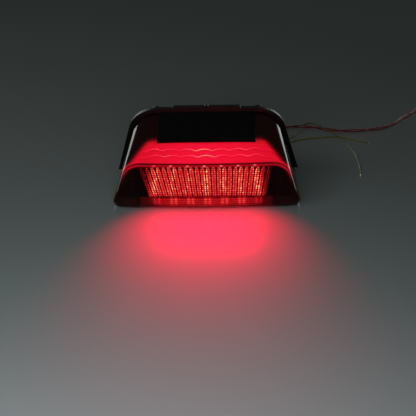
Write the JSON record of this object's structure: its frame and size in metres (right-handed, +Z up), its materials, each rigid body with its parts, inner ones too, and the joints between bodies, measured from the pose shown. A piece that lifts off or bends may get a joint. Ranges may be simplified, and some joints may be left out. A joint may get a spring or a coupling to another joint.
{
  "type": "motorcycle tail light",
  "caption": "Wide LED tail light for a motorcycle: sloping smoked lens cup over a red fluted optic, black arched rear housing with mounting points, free wire leads.",
  "frame": {"origin": "centre of the lamp's footprint on the surface that it stands on, leads left out", "axes": "+X across the lamp, -Y the way its light faces, +Z up"},
  "size_m": [0.4616, 0.3404, 0.0938],
  "materials": {
    "black_abs": "moulded black ABS, fine grain",
    "smoked_lens": "smoked polycarbonate, injection moulded, polished",
    "gasket_rubber": "extruded sealing bead",
    "foam": "closed-cell foam, matte",
    "inner_black": "moulded black ABS",
    "red_optic": "red acrylic, moulded flutes",
    "metallised_red": "metallised plastic under red lacquer",
    "board_green": "solder mask over glass epoxy",
    "red_lamp": "epoxy dome, lit",
    "amber_lamp": "epoxy dome, unlit",
    "black_epoxy": "moulded epoxy",
    "screw_steel": "zinc plated",
    "capacitor_sleeve": "shrink sleeve",
    "terminal_plastic": "moulded nylon",
    "ribbon_grey": "flat cable",
    "black_rubber": "moulded rubber",
    "insert_brass": "turned",
    "collar_steel": "turned, zinc plated",
    "red_pvc": "PVC insulation",
    "yellow_pvc": "PVC insulation",
    "olive_pvc": "PVC insulation",
    "tinned_copper": "tinned strands",
    "terminal_brass": "stamped, tinned"
  },
  "bodies": {
    "root": {"housing": "black_abs", "lens": "smoked_lens", "lens_gasket": "gasket_rubber", "top_pad": "foam", "inner_carrier": "inner_black", "fluted_optic": "red_optic", "led_reflector": "metallised_red", "upper_reflector": "metallised_red", "led_board": "board_green", "tail_leds": "red_lamp", "led_resistors": "black_epoxy", "left_signal_board": "board_green", "right_signal_board": "board_green", "left_signal_leds": "amber_lamp", "right_signal_leds": "amber_lamp", "board_screws": "screw_steel", "carrier_screws": "screw_steel", "driver_board": "board_green", "driver_regulator": "black_epoxy", "driver_capacitor": "capacitor_sleeve", "driver_diodes": "black_epoxy", "driver_screws": "screw_steel", "terminal_block": "terminal_plastic", "link_ribbon": "ribbon_grey", "inner_leads": "red_pvc", "lead_gland": "black_rubber", "breather_cap": "black_rubber", "mounting_inserts": "insert_brass", "lug_grommet": "black_rubber", "lug_collar": "collar_steel", "red_lead_a": "red_pvc", "red_lead_b": "red_pvc", "yellow_lead": "yellow_pvc", "olive_lead": "olive_pvc", "yellow_bare_end": "tinned_copper", "olive_bare_end": "tinned_copper", "bullet_terminals": "terminal_brass", "bullet_sleeves": "red_pvc"}
  },
  "joints": []
}
